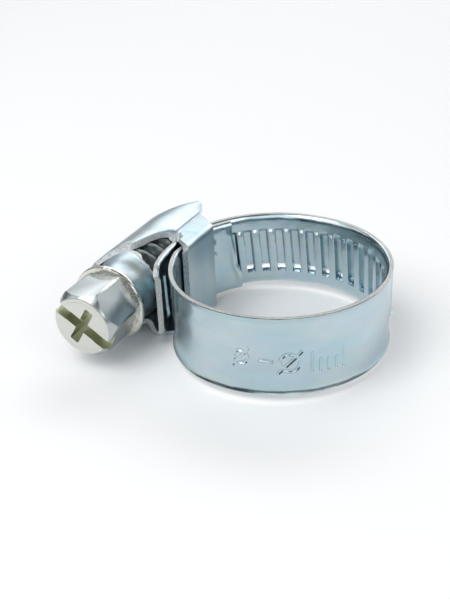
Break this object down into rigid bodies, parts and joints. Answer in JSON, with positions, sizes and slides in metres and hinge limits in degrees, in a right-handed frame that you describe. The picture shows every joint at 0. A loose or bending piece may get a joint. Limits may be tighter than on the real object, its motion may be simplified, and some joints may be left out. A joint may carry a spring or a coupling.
{
  "type": "hose clamp",
  "caption": "Worm-drive hose clamp with a narrow threaded band, a folded housing and a hexagon-head screw that tightens the ring.",
  "frame": {"origin": "under the middle of the whole clamp, at its lowest point", "axes": "+Z along the axis of the ring, +Y along the screw from its head to its tip, +X from the screw across the ring"},
  "size_m": [0.0334, 0.0268, 0.0106],
  "materials": {
    "band_zinc": "bright bluish zinc plate with fine drawing lines",
    "housing_zinc": "bright zinc plate, dull grey on sheared edges",
    "screw_zinc": "warm zinc plate with a yellow-green tint in the recess"
  },
  "bodies": {
    "housing": {"housing": "housing_zinc", "band_fixed_end": "band_zinc"},
    "screw": {"screw": "screw_zinc"},
    "band_tongue": {"band_tongue": "band_zinc"},
    "band_thread": {"band_thread": "band_zinc"},
    "thread_link_01": {"thread_link_01": "band_zinc"},
    "thread_link_02": {"thread_link_02": "band_zinc"},
    "thread_link_03": {"thread_link_03": "band_zinc"},
    "thread_link_04": {"thread_link_04": "band_zinc"},
    "band_link_01": {"band_link_01": "band_zinc"},
    "band_link_02": {"band_link_02": "band_zinc"},
    "band_link_03": {"band_link_03": "band_zinc"},
    "band_link_04": {"band_link_04": "band_zinc"},
    "band_link_05": {"band_link_05": "band_zinc"},
    "band_link_06": {"band_link_06": "band_zinc"},
    "band_link_07": {"band_link_07": "band_zinc"},
    "band_link_08": {"band_link_08": "band_zinc"},
    "band_link_09": {"band_link_09": "band_zinc"},
    "band_link_10": {"band_link_10": "band_zinc"}
  },
  "joints": [
    {"name": "screw_turn", "type": "hinge", "parent": "housing", "child": "screw", "pos_m": [-0.0122, 0.00073, 0.0053], "axis": [0, 1, 0], "range_deg": [0, 2160]},
    {"name": "thread_feed", "type": "hinge", "parent": "housing", "child": "band_thread", "pos_m": [0.00395, 0.00073, 0.0053], "axis": [0, 0, 1], "range_deg": [0, 55.02]},
    {"name": "tongue_bend", "type": "hinge", "parent": "housing", "child": "band_tongue", "pos_m": [-0.00653, 0.00443, 0.0053], "axis": [0, 0, 1], "range_deg": [-8.01, 0]},
    {"name": "thread_bend_01", "type": "hinge", "parent": "band_thread", "child": "thread_link_01", "pos_m": [0.0024, 0.01253, 0.0053], "axis": [0, 0, 1], "range_deg": [-4.66, 0]},
    {"name": "thread_bend_02", "type": "hinge", "parent": "thread_link_01", "child": "thread_link_02", "pos_m": [0.0062, 0.01248, 0.0053], "axis": [0, 0, 1], "range_deg": [-4.3, 0]},
    {"name": "thread_bend_03", "type": "hinge", "parent": "thread_link_02", "child": "thread_link_03", "pos_m": [0.0098, 0.01128, 0.0053], "axis": [0, 0, 1], "range_deg": [-3.82, 0]},
    {"name": "thread_bend_04", "type": "hinge", "parent": "thread_link_03", "child": "thread_link_04", "pos_m": [0.01284, 0.00902, 0.0053], "axis": [0, 0, 1], "range_deg": [-3.4, 0]},
    {"name": "band_bend_01", "type": "hinge", "parent": "housing", "child": "band_link_01", "pos_m": [-0.00636, -0.00274, 0.0053], "axis": [0, 0, 1], "range_deg": [0, 5.05]},
    {"name": "band_bend_02", "type": "hinge", "parent": "band_link_01", "child": "band_link_02", "pos_m": [-0.00485, -0.00611, 0.0053], "axis": [0, 0, 1], "range_deg": [0, 4.69]},
    {"name": "band_bend_03", "type": "hinge", "parent": "band_link_02", "child": "band_link_03", "pos_m": [-0.00233, -0.00895, 0.0053], "axis": [0, 0, 1], "range_deg": [0, 4.18]},
    {"name": "band_bend_04", "type": "hinge", "parent": "band_link_03", "child": "band_link_04", "pos_m": [0.00109, -0.01073, 0.0053], "axis": [0, 0, 1], "range_deg": [0, 3.72]},
    {"name": "band_bend_05", "type": "hinge", "parent": "band_link_04", "child": "band_link_05", "pos_m": [0.00495, -0.01115, 0.0053], "axis": [0, 0, 1], "range_deg": [0, 3.37]},
    {"name": "band_bend_06", "type": "hinge", "parent": "band_link_05", "child": "band_link_06", "pos_m": [0.00874, -0.01031, 0.0053], "axis": [0, 0, 1], "range_deg": [0, 3.15]},
    {"name": "band_bend_07", "type": "hinge", "parent": "band_link_06", "child": "band_link_07", "pos_m": [0.01206, -0.0083, 0.0053], "axis": [0, 0, 1], "range_deg": [0, 3.01]},
    {"name": "band_bend_08", "type": "hinge", "parent": "band_link_07", "child": "band_link_08", "pos_m": [0.01455, -0.00532, 0.0053], "axis": [0, 0, 1], "range_deg": [0, 2.93]},
    {"name": "band_bend_09", "type": "hinge", "parent": "band_link_08", "child": "band_link_09", "pos_m": [0.01595, -0.00169, 0.0053], "axis": [0, 0, 1], "range_deg": [0, 2.9]},
    {"name": "band_bend_10", "type": "hinge", "parent": "band_link_09", "child": "band_link_10", "pos_m": [0.01611, 0.00219, 0.0053], "axis": [0, 0, 1], "range_deg": [0, 2.95]}
  ],
  "couplings": [
    {"joint": "thread_feed", "follows": "screw_turn", "ratio": 0.025465},
    {"joint": "tongue_bend", "follows": "screw_turn", "ratio": -0.0037037},
    {"joint": "thread_bend_01", "follows": "screw_turn", "ratio": -0.0021493},
    {"joint": "thread_bend_02", "follows": "screw_turn", "ratio": -0.0019838},
    {"joint": "thread_bend_03", "follows": "screw_turn", "ratio": -0.0017621},
    {"joint": "thread_bend_04", "follows": "screw_turn", "ratio": -0.0015658},
    {"joint": "band_bend_01", "follows": "screw_turn", "ratio": 0.0023306},
    {"joint": "band_bend_02", "follows": "screw_turn", "ratio": 0.0021628},
    {"joint": "band_bend_03", "follows": "screw_turn", "ratio": 0.0019282},
    {"joint": "band_bend_04", "follows": "screw_turn", "ratio": 0.0017139},
    {"joint": "band_bend_05", "follows": "screw_turn", "ratio": 0.0015548},
    {"joint": "band_bend_06", "follows": "screw_turn", "ratio": 0.0014504},
    {"joint": "band_bend_07", "follows": "screw_turn", "ratio": 0.0013864},
    {"joint": "band_bend_08", "follows": "screw_turn", "ratio": 0.0013499},
    {"joint": "band_bend_09", "follows": "screw_turn", "ratio": 0.0013376},
    {"joint": "band_bend_10", "follows": "screw_turn", "ratio": 0.0013588}
  ]
}
